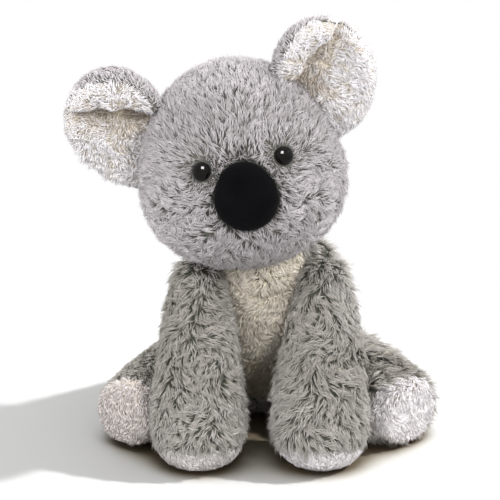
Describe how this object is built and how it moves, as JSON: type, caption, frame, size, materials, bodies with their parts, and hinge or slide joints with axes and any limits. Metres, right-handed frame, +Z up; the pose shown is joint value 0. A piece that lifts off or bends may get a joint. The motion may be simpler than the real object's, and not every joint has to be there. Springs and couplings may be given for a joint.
{
  "type": "plush koala",
  "caption": "Seated plush koala with a leaning head, dished round ears, arms to the floor, splayed legs and pile covers over stuffing.",
  "frame": {"origin": "centre of the flat seat that the toy's body rests on", "axes": "+Z up, the toy faces -Y, its own left side is at +X"},
  "size_m": [0.1978, 0.1473, 0.2369],
  "materials": {
    "grey_pile": "long tousled pile",
    "white_pile": "long tousled pile",
    "nose_cloth": "short velvety nap",
    "eye_plastic": "glossy",
    "washer_plastic": "satin",
    "stuffing": "loose polyester fibre",
    "pellet_cloth": "plain woven bag of pellets"
  },
  "bodies": {
    "torso": {"body_cover": "grey_pile", "belly_panel": "white_pile", "body_filling": "stuffing", "pellet_bag": "pellet_cloth"},
    "neck": {"neck_cover": "grey_pile"},
    "neck_core": {"neck_filling": "stuffing"},
    "head": {"head_cover": "grey_pile", "head_filling": "stuffing", "left_eye": "eye_plastic", "left_eye_washer": "washer_plastic", "right_eye": "eye_plastic", "right_eye_washer": "washer_plastic", "nose_cover": "nose_cloth", "nose_filling": "stuffing"},
    "left_ear": {"left_ear_back": "grey_pile", "left_ear_lining": "white_pile"},
    "right_ear": {"right_ear_back": "grey_pile", "right_ear_lining": "white_pile"},
    "left_arm": {"left_arm_cover": "grey_pile", "left_paw_sole": "white_pile", "left_arm_filling": "stuffing"},
    "right_arm": {"right_arm_cover": "grey_pile", "right_paw_sole": "white_pile", "right_arm_filling": "stuffing"},
    "left_leg": {"left_leg_cover": "grey_pile", "left_foot_pad": "white_pile", "left_leg_filling": "stuffing"},
    "right_leg": {"right_leg_cover": "grey_pile", "right_foot_pad": "white_pile", "right_leg_filling": "stuffing"}
  },
  "joints": [
    {"name": "head_turn", "type": "hinge", "parent": "torso", "child": "neck", "pos_m": [0, -0.042, 0.104], "axis": [0, 0, 1], "range_deg": [-35, 35]},
    {"name": "head_nod", "type": "hinge", "parent": "neck", "child": "neck_core", "pos_m": [0, -0.042, 0.104], "axis": [1, 0, 0], "range_deg": [-10, 8]},
    {"name": "head_tilt", "type": "hinge", "parent": "neck_core", "child": "head", "pos_m": [0, -0.042, 0.104], "axis": [0, -1, 0], "range_deg": [-20, 4]},
    {"name": "left_ear_fold", "type": "hinge", "parent": "head", "child": "left_ear", "pos_m": [0.02286, -0.043, 0.19575], "axis": [0.7193, 0, -0.6947], "range_deg": [-18, 18]},
    {"name": "right_ear_fold", "type": "hinge", "parent": "head", "child": "right_ear", "pos_m": [-0.06281, -0.043, 0.1744], "axis": [0.2756, 0, 0.9613], "range_deg": [-18, 18]},
    {"name": "left_arm_raise", "type": "hinge", "parent": "torso", "child": "left_arm", "pos_m": [0.0345, -0.051, 0.089], "axis": [-0.9962, 0.0872, 0], "range_deg": [0, 60]},
    {"name": "right_arm_raise", "type": "hinge", "parent": "torso", "child": "right_arm", "pos_m": [-0.0345, -0.051, 0.089], "axis": [-1, 0, 0], "range_deg": [0, 60]},
    {"name": "left_leg_splay", "type": "hinge", "parent": "torso", "child": "left_leg", "pos_m": [0.038, -0.011, 0.024], "axis": [0, 0, 1], "range_deg": [-6, 25]},
    {"name": "right_leg_splay", "type": "hinge", "parent": "torso", "child": "right_leg", "pos_m": [-0.038, -0.011, 0.024], "axis": [0, 0, -1], "range_deg": [0, 25]}
  ]
}
